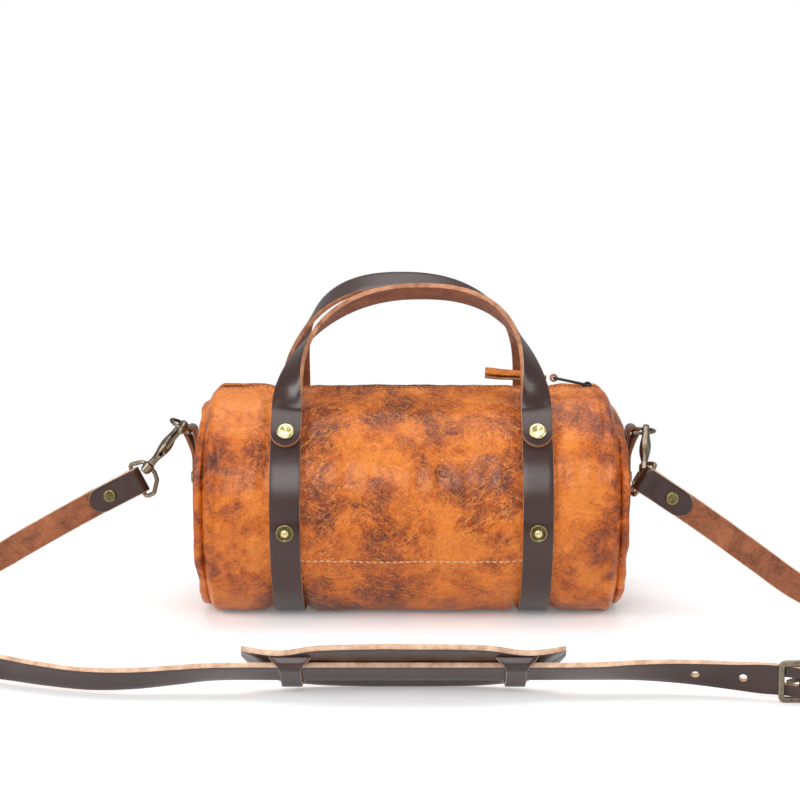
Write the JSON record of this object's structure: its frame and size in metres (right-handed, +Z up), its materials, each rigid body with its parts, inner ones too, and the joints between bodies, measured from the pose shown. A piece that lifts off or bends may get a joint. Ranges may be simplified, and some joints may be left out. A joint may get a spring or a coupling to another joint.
{
  "type": "crossbody bag",
  "caption": "Leather barrel crossbody bag with a top zip, body straps, riveted grab handles and a buckled, padded shoulder strap on snap hooks.",
  "frame": {"origin": "on the floor under the middle of the bag, with the bag standing on its body straps", "axes": "+X along the barrel to the zip slider's end (right in the picture), -Y to the front with the slip pocket and the strap, +Z up"},
  "size_m": [0.7942, 0.3428, 0.2297],
  "materials": {
    "cognac_leather": "waxed pull-up leather, mottled and lightly glossy",
    "tan_leather": "bare flesh side, matt",
    "bridle_leather": "dark brown bridle leather, soft sheen, bare tan cut edges",
    "bright_brass": "bright, polished",
    "antique_brass": "antique, darkened, satin",
    "gunmetal": "dark plated, satin",
    "zip_tape": "woven tape, matt"
  },
  "bodies": {
    "bag": {"body_panel": "cognac_leather", "end_panel_left": "cognac_leather", "end_panel_right": "cognac_leather", "inner_pocket": "tan_leather", "zipper_tape_front": "zip_tape", "zipper_tape_rear": "zip_tape", "zipper_teeth_front": "gunmetal", "zipper_teeth_rear": "gunmetal", "zipper_stops": "gunmetal", "body_strap_left": "bridle_leather", "body_strap_right": "bridle_leather", "handle_ends_front": "bridle_leather", "handle_ends_rear": "bridle_leather", "handle_rivets": "bright_brass", "handle_rivet_backs": "antique_brass", "strap_rivets": "bright_brass", "strap_rivet_burrs": "antique_brass", "tab_left": "tan_leather", "tab_right": "tan_leather", "tab_rivets": "antique_brass", "tab_rivet_backs": "antique_brass", "chape_left": "bridle_leather", "chape_right": "bridle_leather", "chape_rivets": "antique_brass", "long_strap": "bridle_leather", "short_strap": "bridle_leather", "buckle_chape": "bridle_leather", "buckle_rivets": "antique_brass", "keeper": "bridle_leather"},
    "front_handle": {"handle_front": "bridle_leather"},
    "rear_handle": {"handle_rear": "bridle_leather"},
    "zip_slider": {"zipper_slider": "gunmetal"},
    "zip_pull": {"zipper_pull": "gunmetal"},
    "zip_lace": {"zipper_lace": "cognac_leather"},
    "left_ring": {"ring_left": "antique_brass"},
    "right_ring": {"ring_right": "antique_brass"},
    "pad": {"shoulder_pad": "bridle_leather"},
    "buckle": {"buckle_frame": "antique_brass"},
    "prong": {"buckle_prong": "antique_brass"},
    "left_eye": {"snap_eye_left": "antique_brass"},
    "left_snap": {"snap_hook_left": "antique_brass", "snap_pin_left": "antique_brass"},
    "left_trigger": {"snap_trigger_left": "antique_brass"},
    "right_eye": {"snap_eye_right": "antique_brass"},
    "right_snap": {"snap_hook_right": "antique_brass", "snap_pin_right": "antique_brass"},
    "right_trigger": {"snap_trigger_right": "antique_brass"}
  },
  "joints": [
    {"name": "front_handle_fold", "type": "hinge", "parent": "bag", "child": "front_handle", "pos_m": [0, -0.05092, 0.14117], "axis": [1, 0, 0], "range_deg": [0, 130]},
    {"name": "rear_handle_fold", "type": "hinge", "parent": "bag", "child": "rear_handle", "pos_m": [0, 0.05092, 0.14117], "axis": [-1, 0, 0], "range_deg": [0, 130]},
    {"name": "zip_travel", "type": "slide", "parent": "bag", "child": "zip_slider", "axis": [1, 0, 0], "range_m": [-0.2362, 0]},
    {"name": "pull_swing", "type": "hinge", "parent": "zip_slider", "child": "zip_pull", "pos_m": [0.1203, 0, 0.15275], "axis": [0, 1, 0], "range_deg": [0, 120]},
    {"name": "lace_swing", "type": "hinge", "parent": "zip_pull", "child": "zip_lace", "pos_m": [0.09731, 0, 0.15764], "axis": [0, 1, 0], "range_deg": [0, 60]},
    {"name": "left_ring_swing", "type": "hinge", "parent": "bag", "child": "left_ring", "pos_m": [-0.1515, 0, 0.121], "axis": [0, 1, 0], "range_deg": [-3, 3]},
    {"name": "right_ring_swing", "type": "hinge", "parent": "bag", "child": "right_ring", "pos_m": [0.1515, 0, 0.121], "axis": [0, -1, 0], "range_deg": [-3, 0.8]},
    {"name": "left_eye_rock", "type": "hinge", "parent": "bag", "child": "left_eye", "pos_m": [-0.187, -0.011, 0.088], "axis": [-0.4618, 0, 0.887], "range_deg": [-0.8, 1]},
    {"name": "left_swivel", "type": "hinge", "parent": "left_eye", "child": "left_snap", "pos_m": [-0.17991, -0.011, 0.09733], "axis": [0.65, 0, 0.76], "range_deg": [-6, 5]},
    {"name": "left_trigger", "type": "hinge", "parent": "left_snap", "child": "left_trigger", "pos_m": [-0.16649, -0.01216, 0.11257], "axis": [-0.7367, -0.2456, 0.6301], "range_deg": [0, 18], "stiffness_Nm_per_rad": 0.02, "springref_deg": -20.05},
    {"name": "right_eye_rock", "type": "hinge", "parent": "bag", "child": "right_eye", "pos_m": [0.1545, -0.0494, 0.095], "axis": [0.5592, 0, 0.829], "range_deg": [-0.2, 1]},
    {"name": "right_swivel", "type": "hinge", "parent": "right_eye", "child": "right_snap", "pos_m": [0.15508, -0.03914, 0.10064], "axis": [0.12, 0.8198, 0.5599], "range_deg": [-5, 4]},
    {"name": "right_trigger", "type": "hinge", "parent": "right_snap", "child": "right_trigger", "pos_m": [0.15751, -0.02182, 0.11101], "axis": [0.9928, -0.0961, -0.0721], "range_deg": [0, 16], "stiffness_Nm_per_rad": 0.02, "springref_deg": -20.05},
    {"name": "pad_shift", "type": "slide", "parent": "bag", "child": "pad", "axis": [1, 0, 0], "range_m": [-0.015, 0.015]},
    {"name": "buckle_rock", "type": "hinge", "parent": "bag", "child": "buckle", "pos_m": [0.22906, -0.23966, 0.01302], "axis": [-0.036, -0.1344, 0.9903], "range_deg": [-0.5, 2]},
    {"name": "prong_swing", "type": "hinge", "parent": "buckle", "child": "prong", "pos_m": [0.22906, -0.23966, 0.01302], "axis": [0.036, 0.1344, -0.9903], "range_deg": [0, 90]}
  ]
}
